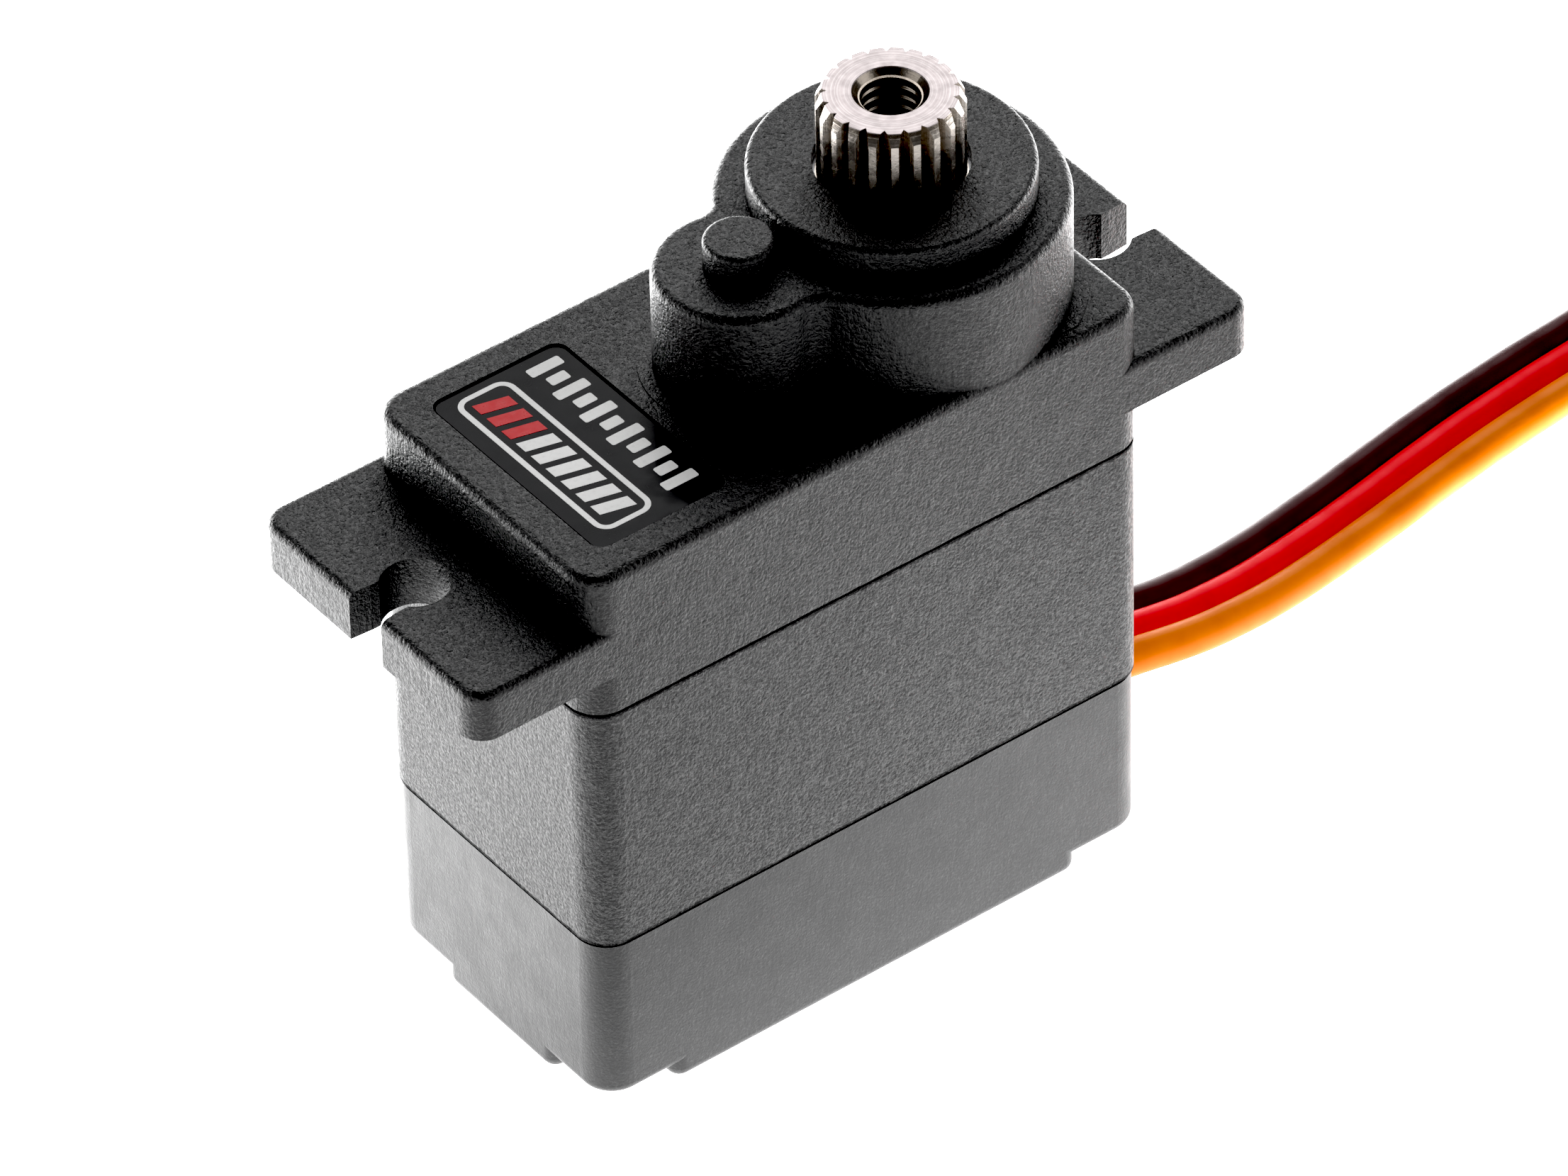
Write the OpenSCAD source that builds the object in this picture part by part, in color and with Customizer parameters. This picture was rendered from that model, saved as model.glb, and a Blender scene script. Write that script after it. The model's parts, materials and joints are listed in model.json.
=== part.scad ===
// Micro servo motor with metal gears. Millimetres, +Z up along the output shaft.
// The origin is the centre of the underside of the case; the output end and the lead are at +X.

/* [Case] */
// Length of the case, without the ears
case_l = 22.8; // [22.6:0.1:23]
// Width of the case
case_w = 11.8; // [11.8:0.1:12]
// Radius of the upright corners
corner_r = 1.2; // [1.1:0.1:1.3]
// Height of the joint between the bottom cover and the middle case
cover_z = 7.4; // [7.3:0.1:7.5]
// Height of the flat top face beside the humps
top_z = 23.1; // [23:0.1:23.3]
// Height of the humps over the gears
hump_z = 27.2; // [27.2:0.1:27.3]
// Height of the boss disc around the output shaft
boss_z = 28.4; // [28.4:0.1:28.5]

/* [Ears] */
// Reach of each ear beyond the case
ear_reach = 4.5; // [4.35:0.05:4.6]
// Height of the underside of the ears
ear_z = 18.9; // [18.7:0.1:19]
// Thickness of the ears
ear_t = 1.9; // [1.8:0.1:2]
// Diameter of the fixing holes
ear_hole_d = 2.35; // [2.3:0.05:2.4]
// Distance from the case to the centre of a fixing hole
ear_hole_out = 2.5; // [2.4:0.05:2.6]

/* [Output] */
// Number of teeth on the output spline
spline_teeth = 21; // [20:1:24]
// Outer diameter of the spline
spline_d = 4.9; // [4.7:0.1:4.9]
// Height of the top of the spline
spline_top_z = 31.2; // [31:0.1:31.4]
// Diameter of the threaded hole for the horn screw, at the roots of its thread
horn_bore_d = 2; // [1.8:0.1:2]

/* [Gears] */
// Play between meshing teeth, measured along the pitch circle
gear_lash = 0.06; // [0.05:0.01:0.08]
// Thickness of the first two gear wheels
wheel_t = 1.0; // [0.9:0.1:1]

/* [Lead] */
// Diameter of one wire of the lead, with its insulation
wire_d = 1.25; // [1.2:0.05:1.25]

/* [Hidden] */
$fn = 64;
eps = 0.01;

// --- case ---------------------------------------------------------------------------------------
wall = 0.9;
edge_r = 0.35;
deck_z = 17.3;                       // joint of the middle case and the top case, top of the deck
deck_t = 1.2;
deck_under_z = deck_z - deck_t;
foot_h = 0.65;                       // the underside stands on a cross-shaped foot this high
foot_corner = 2.9;                   // side of each recessed corner of the underside
cover_inset = 0.06;                  // the bottom cover is this much smaller on every side
joint_h = 0.15;                      // shadow groove at the lower joint
joint_deep = 0.35;
seam_h = 0.1;                        // finer groove at the upper joint
seam_deep = 0.3;
floor_z = 0.9;                       // inner floor of the bottom cover
rib_x = 3.9;                         // two ribs across the floor carry the circuit board
rib_w = 1.0;
screw_in = 1.65;                     // distance of a case screw from each side
screw_r = 0.55;
screw_head_r = 1.1;
screw_head_h = 0.8;
screw_top_z = 21.0;
post_r = 1.5;
screw_x = case_l / 2 - screw_in;
screw_y = case_w / 2 - screw_in;

// --- axes of the gear train ---------------------------------------------------------------------
out_x = case_l / 2 - case_w / 2;     // the large hump ends flush with three sides of the case
train_a = 6.2;                       // distance between the output axis and the gear pin
motor_a = 5.2;                       // distance between the gear pin and the motor
pin_x = out_x - train_a;
motor_x = pin_x - motor_a;

// --- gears --------------------------------------------------------------------------------------
pressure = 25;
pinion_n = 10;
first_n = 42;
small_n = 12;
wheel_n = 38;
first_m = 2 * motor_a / (pinion_n + first_n);
train_m = 2 * train_a / (small_n + wheel_n);
addendum = 0.9;
dedendum = 1.2;
gear_one_z = deck_z + 0.45;
gear_two_z = gear_one_z + wheel_t + 0.3;
gear_three_z = gear_two_z + wheel_t + 0.4;
gear_three_t = 1.2;
out_wheel_z = gear_three_z + gear_three_t + 1.05;
out_wheel_t = 1.7;
pin_r = 0.6;
pin_bore_r = 0.63;
collar_z = deck_z + 0.3;             // top of the bosses that the gears turn on

// --- output shaft and its bearing ---------------------------------------------------------------
journal_r = 2.5;
shoulder_r = 2.8;
ring_r = 4.0;
ring_h = 2.5;
lip_t = 0.5;
lip_hole_r = 2.6;
ring_z = boss_z - lip_t - ring_h;
ball_r = 0.45;
ball_pitch_r = 3.25;
ball_n = 9;
race_gap = 0.02;
ring_play = 0.06;                     // keeps the inner ring clear of the lip of the case
spline_z = boss_z - lip_t;            // the teeth start at the top of the bearing
spline_deep = 0.4;
spline_turn = -4.6;                  // where the teeth stand at mid travel
spline_land = 0.24;
spline_chamfer_w = 0.22;
spline_chamfer_h = 0.42;
horn_bore_deep = 6;
horn_sink_r = 1.27;

// --- humps --------------------------------------------------------------------------------------
hump_r = case_w / 2 - 0.03;
small_hump_r = 2.9;
hump_fillet_r = 1.0;                 // fills the crease between the two humps
boss_r = 4.75;
nub_r = 1.2;
nub_z = hump_z + 1.1;
pin_top_z = nub_z - 0.5;
land_w = 0.5;                        // a very low land runs round the foot of the humps
land_h = 0.04;
gear_room_r = 5.15;
gear_room_z = 22.3;
hump_room_z = 25.0;

// --- label --------------------------------------------------------------------------------------
label_l = 5.3;
label_w = 9.2;
label_r = 0.5;
label_x = -7.3;
label_deep = 0.2;
label_t = 0.12;
label_gap = 0.08;

// --- motor --------------------------------------------------------------------------------------
can_r = 4.5;
can_wall = 0.3;
can_z = 4.4;
cap_t = 0.8;
motor_shaft_r = 0.5;
shaft_play = 0.02;
magnet_in_r = 3.35;
magnet_z = 6.6;
magnet_h = 8.0;
core_r = 3.1;
core_z = 7.6;
core_h = 6.0;
commutator_z = 5.3;
commutator_r = 1.0;
commutator_h = 1.6;
brush_t = 0.1;
terminal_y = 3.0;
bush_r = 1.5;

// --- potentiometer ------------------------------------------------------------------------------
pot_r = 4.0;
pot_z = 10.4;
pot_top_z = 14.8;
pot_wall = 0.5;
pot_shaft_r = 0.75;
pot_collar_r = 1.6;
pot_base_t = 0.6;
pot_pin_x = out_x - 2.8;
pot_pin_ys = [-1.5, 0, 1.5];

// --- circuit board ------------------------------------------------------------------------------
board_z = 1.5;
board_t = 0.8;
board_top_z = board_z + board_t;
chip_h = 0.9;

// --- lead: a flat ribbon of three wires ---------------------------------------------------------
ribbon_half = 1.5 * wire_d;
exit_z = 3.3;
exit_room = 0.05;
pad_x = 7.7;
plug_l = 14.0;
plug_w = 7.9;
plug_h = 2.5;
plug_x = 44.5;
plug_y = -23.6;
pin_pitch = 2.54;
coil_x = 52.5;
coil_y = -16.2;
coil_in_r = 14.3;
coil_out_r = 23.2;

// Route of the lead from the case to the coil, and from the coil to the plug
lead_route = [
    [11.4, 0, 3.3], [13.0, 0, 3.2], [14.6, 0, 2.94], [16.4, 0.04, 2.52], [18.2, 0.2, 2.09],
    [20.9, 0.65, 1.54], [23.8, 1.3, 1.09], [26.9, 2.0, 0.78], [29.9, 2.6, 0.67], [32.8, 3.05, 0.65],
    [36.0, 3.4, 0.65], [38.6, 3.6, 0.65], [41.2, 3.8, 0.65], [43.8, 4.04, 0.65], [46.3, 4.36, 0.65],
    [48.8, 4.8, 0.65]
];
tail_route = [
    [68.4, -13.4, 0.65], [68.4, -16.6, 0.65], [67.4, -19.4, 0.75], [65.5, -21.6, 0.9],
    [63.0, -23.1, 1.1], [60.1, -23.6, 1.25], [58.5, -23.6, 1.25]
];

// ---------------------------------------------------------------- shared shapes

module at(x, y, z) {
    translate([x, y, z]) children();
}

// Rectangle with round corners
module rounded_outline(l, w, r) {
    square([l - 2 * r, w], center = true);
    square([l, w - 2 * r], center = true);
    for (sx = [-1, 1], sy = [-1, 1])
        translate([sx * (l / 2 - r), sy * (w / 2 - r)]) circle(r);
}

// Block with round upright corners and softly rounded top edges
module soft_block(l, w, h, r, e) {
    linear_extrude(h - e) rounded_outline(l, w, r);
    linear_extrude(h) rounded_outline(l - 2 * e, w - 2 * e, r - e);
    for (s = [-1, 1]) {
        at(0, s * (w / 2 - e), h - e)
            rotate([0, 90, 0]) cylinder(r = e, h = l - 2 * r, center = true);
        at(s * (l / 2 - e), 0, h - e)
            rotate([90, 0, 0]) cylinder(r = e, h = w - 2 * r, center = true);
        for (t = [-1, 1])
            at(s * (l / 2 - r), t * (w / 2 - r), h - e)
                rotate_extrude() {
                    square([r - e, e]);
                    translate([r - e, 0]) intersection() {
                        circle(e);
                        square(e);
                    }
                }
    }
}

// Round disc with a softly rounded top edge
module soft_disc(r, h, e) {
    rotate_extrude() {
        square([r - e, h]);
        square([r, h - e]);
        translate([r - e, h - e]) intersection() {
            circle(e);
            square(e);
        }
    }
}

// Tube between two radii
module tube(outer, inner, h) {
    difference() {
        cylinder(r = outer, h = h);
        at(0, 0, -eps) cylinder(r = inner, h = h + 2 * eps);
    }
}

module at_screws() {
    for (sx = [-1, 1], sy = [-1, 1]) at(sx * screw_x, sy * screw_y, 0) children();
}

// ---------------------------------------------------------------- gear teeth

function involute(a) = tan(a) * 180 / PI - a;

// Half the angle of a tooth at radius r
function tooth_half(n, m, r) =
    let (pitch_r = n * m / 2,
         base_r = pitch_r * cos(pressure),
         a = r > base_r ? acos(base_r / r) : 0)
    90 / n - gear_lash / 2 / pitch_r * 90 / PI + involute(pressure) - involute(a);

// Outline of a spur gear with its first tooth at the given angle
module gear_outline(n, m, first = 0) {
    flank = [-dedendum, -0.5, 0, 0.5, addendum];
    half = concat([for (q = flank) [-1, q]], [for (i = [len(flank) - 1:-1:0]) [1, flank[i]]]);
    polygon([for (k = [0:n - 1], p = half)
        let (r = m * (n / 2 + p[1]),
             a = first + 360 * k / n + p[0] * tooth_half(n, m, r))
        r * [cos(a), sin(a)]]);
}

// Wheel and smaller gear in one piece, on one bore
module stepped_gear(n, m, t, first, small_t, small_first, bore_r) {
    difference() {
        union() {
            linear_extrude(t) gear_outline(n, m, first);
            at(0, 0, t) linear_extrude(small_t) gear_outline(small_n, train_m, small_first);
        }
        at(0, 0, -1) cylinder(r = bore_r, h = t + small_t + 2);
    }
}

// ---------------------------------------------------------------- case

module screw_clearance(z, h) {
    at_screws() at(0, 0, z) cylinder(r = screw_r + 0.05, h = h);
}

// Opening for the ribbon in the end wall of the bottom cover
module lead_slot() {
    at(case_l / 2 - 2, -ribbon_half - exit_room, exit_z - wire_d / 2 - exit_room)
        cube([3, 2 * (ribbon_half + exit_room), wire_d + 2 * exit_room]);
}

module bottom_cover() {
    l = case_l - 2 * cover_inset;
    w = case_w - 2 * cover_inset;
    foot_e = 0.4;
    foot_r = 0.5;
    body_h = cover_z - joint_h - foot_h;
    color("#1b1b1d")
    difference() {
        union() {
            at(0, 0, cover_z - joint_h) mirror([0, 0, 1]) soft_block(l, w, body_h, corner_r, foot_e);
            at(0, 0, foot_h + 1) mirror([0, 0, 1]) {
                soft_block(l, w - 2 * foot_corner, foot_h + 1, foot_r, foot_e);
                soft_block(l - 2 * foot_corner, w, foot_h + 1, foot_r, foot_e);
            }
            at(0, 0, cover_z - 1)
                linear_extrude(1) rounded_outline(l - 2 * joint_deep, w - 2 * joint_deep, corner_r);
        }
        difference() {
            at(0, 0, floor_z)
                linear_extrude(cover_z) rounded_outline(l - 2 * wall, w - 2 * wall, corner_r / 2);
            at_screws() cylinder(r = post_r, h = cover_z);
            for (s = [-1, 1]) at(s * rib_x - rib_w / 2, -case_w / 2, 0) cube([rib_w, case_w, board_z]);
        }
        at(motor_x, 0, 3) cylinder(r = can_r + 0.1, h = cover_z);
        screw_clearance(-1, cover_z + 2);
        at_screws() at(0, 0, -1) cylinder(r = screw_head_r + 0.05, h = 1 + foot_h + screw_head_h + 0.05);
        lead_slot();
    }
}

module middle_case() {
    pot_bay_z = pot_z - 0.2;
    bay_from = -1.5;
    bay_to = case_l / 2 - wall;
    color("#1d1d1f")
    difference() {
        union() {
            at(0, 0, cover_z)
                linear_extrude(deck_z - cover_z) rounded_outline(case_l, case_w, corner_r);
            at(pin_x, 0, deck_z - 1) cylinder(r = 2 * pin_r, h = collar_z - deck_z + 1);
        }
        at(motor_x, 0, cover_z - 1) cylinder(r = can_r + 0.02, h = deck_under_z - cover_z + 1);
        at(motor_x, 0, cover_z) cylinder(r = bush_r + 0.05, h = deck_z);
        difference() {
            at((bay_from + bay_to) / 2, 0, cover_z - 1)
                linear_extrude(pot_bay_z - cover_z + 1)
                    rounded_outline(bay_to - bay_from, case_w - 2 * wall, corner_r / 2);
            at_screws() cylinder(r = post_r, h = deck_z);
        }
        at(out_x, 0, pot_bay_z - 1) cylinder(r = pot_r + 0.05, h = pot_top_z - pot_bay_z + 1);
        at(out_x, 0, pot_bay_z) cylinder(r = pot_collar_r + 0.05, h = deck_under_z - pot_bay_z);
        at(out_x, 0, pot_bay_z) cylinder(r = 1.2, h = deck_z);
        at(pin_x, 0, deck_z - 1) cylinder(r = pin_r, h = 2);
        screw_clearance(cover_z - 1, deck_z);
    }
}

// Keyhole slot of an ear: a round hole that opens to the end of the ear
module ear_slot(side) {
    neck = 0.34 * ear_hole_d;
    mouth = 0.4 * ear_hole_d;
    throat = ear_hole_d / 2;
    end = ear_reach - ear_hole_out + 1;
    at(side * (case_l / 2 + ear_hole_out), 0, ear_z - 1) {
        cylinder(d = ear_hole_d, h = ear_t + 2);
        linear_extrude(ear_t + 2)
            polygon([[0, -neck], [side * throat, -neck], [side * end, -mouth],
                     [side * end, mouth], [side * throat, neck], [0, neck]]);
    }
}

module ears() {
    ear_r = 0.9;
    inside = 2;
    for (s = [-1, 1])
        at(s * (case_l / 2 + (ear_reach - inside) / 2), 0, ear_z)
            soft_block(ear_reach + inside, case_w, ear_t, ear_r, 0.3);
}

module humps() {
    root_z = top_z - 1;
    at(out_x, 0, root_z) soft_disc(hump_r, hump_z - root_z, edge_r);
    at(pin_x, 0, root_z) soft_disc(small_hump_r, hump_z - root_z, edge_r);
    at(out_x, 0, root_z) soft_disc(boss_r, boss_z - root_z, 0.22);
    at(pin_x, 0, root_z) soft_disc(nub_r, nub_z - root_z, 0.2);
    hump_fillet(root_z, hump_z - root_z);
    mirror([0, 1, 0]) hump_fillet(root_z, hump_z - root_z);
}

// Fills one crease between the two humps with a hollow round corner, with the same soft top edge.
// The hollow is cut slightly too wide, so that it crosses the humps instead of just touching them.
module hump_fillet(z, h) {
    f = hump_fillet_r;
    crossing = 0.02;
    cut_r = f + crossing;
    e = edge_r;
    back = (train_a^2 + (hump_r + f)^2 - (small_hump_r + f)^2) / (2 * train_a);
    side = sqrt((hump_r + f)^2 - back^2);
    to_big = hump_r / (hump_r + f);
    to_small = small_hump_r / (small_hump_r + f);
    into_big = 0.5;
    at(out_x - back, side, z) difference() {
        linear_extrude(h)
            polygon([[0, 0], [-(train_a - back) * (1 - to_small), -side * (1 - to_small)],
                     [into_big, -side / 2], [back * (1 - to_big), -side * (1 - to_big)]]);
        at(0, 0, -1) cylinder(r = cut_r, h = h + 2);
        at(0, 0, h - e) rotate_extrude() difference() {
            square([cut_r + e, 2 * e]);
            translate([cut_r + e, 0]) circle(e);
        }
    }
}

module hump_land() {
    under = 0.5;
    intersection() {
        union() {
            at(out_x, 0, top_z - under) cylinder(r = hump_r + land_w, h = under + land_h);
            at(pin_x, 0, top_z - under) cylinder(r = small_hump_r + land_w, h = under + land_h);
        }
        at(0, 0, top_z - 1)
            linear_extrude(2)
                rounded_outline(case_l - 3 * edge_r, case_w - 3 * edge_r, corner_r - edge_r);
    }
}

module gear_room() {
    at(out_x, 0, deck_z - 1) cylinder(r = gear_room_r, h = hump_room_z - deck_z + 1);
    at(pin_x, 0, deck_z - 1) cylinder(r = gear_room_r, h = gear_room_z - deck_z + 1);
    at(pin_x, 0, deck_z - 1) cylinder(r = 2.2, h = hump_room_z - deck_z + 1);
    at(motor_x, 0, deck_z - 1) cylinder(r = 1.8, h = 3.2);
}

module top_case() {
    color("#19191b")
    difference() {
        union() {
            at(0, 0, deck_z + seam_h)
                soft_block(case_l, case_w, top_z - deck_z - seam_h, corner_r, edge_r);
            at(0, 0, deck_z)
                linear_extrude(1)
                    rounded_outline(case_l - 2 * seam_deep, case_w - 2 * seam_deep, corner_r);
            ears();
            humps();
            hump_land();
        }
        for (s = [-1, 1]) ear_slot(s);
        gear_room();
        at(out_x, 0, hump_room_z - 1) cylinder(r = ring_r, h = ring_z + ring_h - hump_room_z + 1);
        at(out_x, 0, ring_z) cylinder(r = lip_hole_r, h = boss_z);
        at(pin_x, 0, hump_z - 3) cylinder(r = pin_r, h = pin_top_z - hump_z + 3);
        at(label_x, 0, top_z - label_deep) linear_extrude(1) rounded_outline(label_l, label_w, label_r);
        at_screws() at(0, 0, deck_z - 1) cylinder(r = screw_r, h = screw_top_z - deck_z + 1);
    }
}

module case_screws() {
    head_z = foot_h + 0.05;
    color("#8d8f92")
    at_screws() difference() {
        union() {
            at(0, 0, head_z) cylinder(r = screw_head_r, h = screw_head_h);
            at(0, 0, head_z) cylinder(r = screw_r, h = screw_top_z - head_z);
        }
        for (a = [0, 90])
            rotate(a) at(-0.7, -0.13, head_z - 0.1) cube([1.4, 0.26, 0.5]);
    }
}

module label() {
    color("#101012")
    at(label_x, 0, top_z - label_deep)
        linear_extrude(label_t)
            rounded_outline(label_l - 2 * label_gap, label_w - 2 * label_gap, label_r - label_gap);
}

// ---------------------------------------------------------------- output shaft and bearing

module spline_outline() {
    r = spline_d / 2;
    land = spline_land / r * 90 / PI;
    polygon([for (k = [0:spline_teeth - 1], p = [[-180 / spline_teeth, r - spline_deep], [-land, r], [land, r]])
        let (a = 360 * k / spline_teeth + p[0])
        p[1] * [cos(a), sin(a)]]);
}

module spline() {
    r = spline_d / 2;
    h = spline_top_z - spline_z;
    intersection() {
        rotate(spline_turn) at(0, 0, spline_z) linear_extrude(h) spline_outline();
        at(0, 0, spline_z)
            rotate_extrude()
                polygon([[0, 0], [r, 0], [r, h - spline_chamfer_h], [r - spline_chamfer_w, h], [0, h]]);
    }
}

module output_gear() {
    hub_r = 1.6;
    hub_h = 0.9;
    sink_h = horn_sink_r - horn_bore_d / 2;
    shoulder_z = out_wheel_z + out_wheel_t;
    color("#b9b3aa")
    at(out_x, 0, 0) difference() {
        union() {
            at(0, 0, out_wheel_z) linear_extrude(out_wheel_t) gear_outline(wheel_n, train_m, 180 / wheel_n);
            at(0, 0, out_wheel_z - hub_h) cylinder(r = hub_r, h = hub_h + 0.1);
            at(0, 0, shoulder_z - 0.1) cylinder(r = shoulder_r, h = ring_z - shoulder_z + 0.1);
            at(0, 0, ring_z - 0.1) cylinder(r = journal_r, h = ring_h + 0.15);
            spline();
        }
        at(0, 0, out_wheel_z - hub_h - 1) cylinder(r = pot_shaft_r, h = hub_h + 1 + out_wheel_t - 0.2);
        at(0, 0, spline_top_z - horn_bore_deep) cylinder(d = horn_bore_d, h = horn_bore_deep + 1);
        at(0, 0, spline_top_z - sink_h) cylinder(r1 = horn_bore_d / 2, r2 = horn_sink_r + eps, h = sink_h + eps);
    }
}

// Groove that the balls run in
module race() {
    at(0, 0, ring_h / 2) rotate_extrude() translate([ball_pitch_r, 0]) circle(ball_r + race_gap);
}

module bearing_outer_ring() {
    color("#c8c9cb")
    at(out_x, 0, ring_z) difference() {
        tube(ring_r, 3.6, ring_h);
        race();
    }
}

module bearing_inner_ring() {
    color("#c8c9cb")
    at(out_x, 0, ring_z) difference() {
        tube(2.9, journal_r, ring_h - ring_play);
        race();
    }
}

module at_balls() {
    for (k = [0:ball_n - 1])
        rotate(360 * k / ball_n) at(ball_pitch_r, 0, ring_h / 2) children();
}

module bearing_balls() {
    color("#d8d9db") at(out_x, 0, ring_z) at_balls() sphere(ball_r);
}

module bearing_cage() {
    cage_h = 1.3;
    color("#a7905a")
    at(out_x, 0, ring_z) difference() {
        at(0, 0, (ring_h - cage_h) / 2) tube(3.42, 3.08, cage_h);
        at_balls() rotate([0, 90, 0]) cylinder(r = ball_r + 0.03, h = 2, center = true);
    }
}

module output_bush() {
    color("#b89a4e")
    at(out_x, 0, 0) difference() {
        union() {
            at(0, 0, deck_under_z) cylinder(r = 1.2, h = deck_t + 0.1);
            at(0, 0, deck_z) cylinder(r = pot_collar_r, h = collar_z - deck_z);
        }
        cylinder(r = pot_shaft_r + shaft_play, h = top_z);
    }
}

// ---------------------------------------------------------------- idler gears

module gear_pin() {
    color("#d0d1d3") at(pin_x, 0, deck_z - 1) cylinder(r = pin_r, h = pin_top_z - deck_z + 1);
}

module gear_one() {
    color("#c2a04a")
    at(pin_x, 0, gear_one_z)
        stepped_gear(first_n, first_m, wheel_t, 180 + 180 / first_n, 1.6, 0, pin_bore_r);
}

module gear_two() {
    color("#b7b3ab")
    at(out_x, 0, 0) difference() {
        union() {
            at(0, 0, gear_two_z) stepped_gear(wheel_n, train_m, wheel_t, 180 / wheel_n, 1.6, 0, pot_shaft_r);
            at(0, 0, collar_z + 0.1) cylinder(r = 1.3, h = gear_two_z - collar_z);
        }
        cylinder(r = pot_shaft_r + 0.03, h = top_z);
    }
}

module gear_three() {
    color("#b0aca4")
    at(pin_x, 0, gear_three_z)
        stepped_gear(wheel_n, train_m, gear_three_t, 180 / wheel_n, 2.9, 0, pin_bore_r);
}

// ---------------------------------------------------------------- motor

module motor_can() {
    color("#b5b7ba")
    at(motor_x, 0, can_z) difference() {
        cylinder(r = can_r, h = deck_under_z - can_z);
        at(0, 0, -1) cylinder(r = can_r - can_wall, h = deck_under_z - can_z - can_wall + 1);
        cylinder(r = bush_r, h = deck_z);
    }
}

module motor_magnets() {
    gap = 1.4;
    color("#3a3a3c")
    at(motor_x, 0, magnet_z) difference() {
        tube(can_r - can_wall, magnet_in_r, magnet_h);
        at(-gap / 2, -can_r, -1) cube([gap, 2 * can_r, magnet_h + 2]);
    }
}

module motor_front_bush() {
    color("#b08d57")
    at(motor_x, 0, deck_under_z - 0.5) tube(bush_r, motor_shaft_r + shaft_play, 1.5);
}

module terminal_blade(grow = 0) {
    for (s = [-1, 1])
        at(motor_x - 0.6 - grow, s * terminal_y - 0.2 - grow, board_z)
            cube([1.2 + 2 * grow, 0.4 + 2 * grow, can_z + cap_t - board_z]);
}

module motor_end_cap() {
    boss_h = 0.9;
    color("#e6e2d6")
    difference() {
        union() {
            at(motor_x, 0, can_z) cylinder(r = can_r - can_wall, h = cap_t);
            at(motor_x, 0, can_z - boss_h) cylinder(r = 1.3, h = boss_h + 0.1);
        }
        at(motor_x, 0, can_z - boss_h + 0.1) cylinder(r = motor_shaft_r + shaft_play, h = 3);
        terminal_blade(0.01);
    }
}

module motor_brushes() {
    z = can_z + cap_t;
    y = commutator_r + 0.02;
    color("#c07a3c")
    for (s = [-1, 1])
        at(motor_x, 0, z) mirror([0, s < 0 ? 1 : 0, 0]) {
            at(-2.2, y, 0.3) cube([3.0, brush_t, 1.0]);
            at(-2.2, y, 0) cube([0.5, brush_t, 0.4]);
        }
}

module motor_terminals() {
    color("#c9b98a") terminal_blade();
}

module rotor_shaft() {
    color("#cfd0d2")
    at(motor_x, 0, can_z - 0.7) cylinder(r = motor_shaft_r, h = gear_one_z + wheel_t + 0.35 - can_z + 0.7);
}

// One pole of the three-pole core: an arm with a curved shoe
module pole_outline() {
    translate([0, -0.5]) square([core_r - 0.3, 1]);
    intersection() {
        difference() {
            circle(core_r);
            circle(core_r - 0.6);
        }
        polygon([[0, 0], [2 * core_r, -2.1 * core_r], [2 * core_r, 2.1 * core_r]]);
    }
}

module rotor_core() {
    color("#7d7f83")
    at(motor_x, 0, core_z) linear_extrude(core_h) difference() {
        union() {
            circle(1.1);
            for (k = [0:2]) rotate(120 * k) pole_outline();
        }
        circle(motor_shaft_r);
    }
}

module rotor_windings() {
    over = 0.5;
    color("#b5562a")
    at(motor_x, 0, core_z - over)
        for (k = [0:2]) rotate(120 * k) difference() {
            at(1.25, -0.95, 0) cube([1.0, 1.9, core_h + 2 * over]);
            at(1, -0.5, over) cube([2, 1, core_h]);
        }
}

module commutator() {
    color("#c98a4a")
    at(motor_x, 0, commutator_z) difference() {
        tube(commutator_r, motor_shaft_r, commutator_h);
        for (k = [0:2]) rotate(60 + 120 * k) at(0.7, -0.06, -1) cube([1, 0.12, commutator_h + 2]);
    }
}

module motor_pinion() {
    color("#c2a04a")
    at(motor_x, 0, gear_one_z - 0.15) linear_extrude(wheel_t + 0.4) difference() {
        gear_outline(pinion_n, first_m, 0);
        circle(motor_shaft_r);
    }
}

// ---------------------------------------------------------------- potentiometer

module pot_housing() {
    color("#c8c4b8")
    at(out_x, 0, pot_z) difference() {
        union() {
            cylinder(r = pot_r, h = pot_top_z - pot_z);
            cylinder(r = pot_collar_r, h = deck_under_z - pot_z);
        }
        at(0, 0, -1) cylinder(r = pot_r - pot_wall, h = pot_top_z - pot_z - pot_wall + 1);
        cylinder(r = pot_shaft_r + shaft_play, h = deck_z);
    }
}

module pot_base() {
    color("#8a6a3a")
    difference() {
        at(out_x, 0, pot_z) cylinder(r = pot_r - pot_wall, h = pot_base_t);
        pot_pins();
    }
}

module pot_track() {
    color("#2a2522")
    at(out_x, 0, pot_z + pot_base_t) difference() {
        tube(3.2, 2.2, 0.1);
        at(-4, -0.7, -1) cube([3, 1.4, 2]);
    }
}

module pot_shaft() {
    bottom = pot_z + pot_base_t + 0.3;
    color("#d7d2c4")
    at(out_x, 0, bottom) cylinder(r = pot_shaft_r, h = out_wheel_z + out_wheel_t - 0.3 - bottom);
}

module pot_wiper() {
    z = pot_z + pot_base_t + 0.6;
    color("#d6b24a")
    at(out_x, 0, z) difference() {
        union() {
            cylinder(r = 1.3, h = 0.8);
            at(0, -0.5, 0) cube([3.1, 1.0, 0.2]);
            at(2.5, -0.3, -0.45) cube([0.5, 0.6, 0.5]);
        }
        at(0, 0, -1) cylinder(r = pot_shaft_r, h = 3);
    }
}

module pot_pins() {
    color("#cfcfcf")
    for (y = pot_pin_ys) at(pot_pin_x, y, pot_z - 1.4) cylinder(r = 0.25, h = 1.4 + pot_base_t - 0.1);
}

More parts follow.
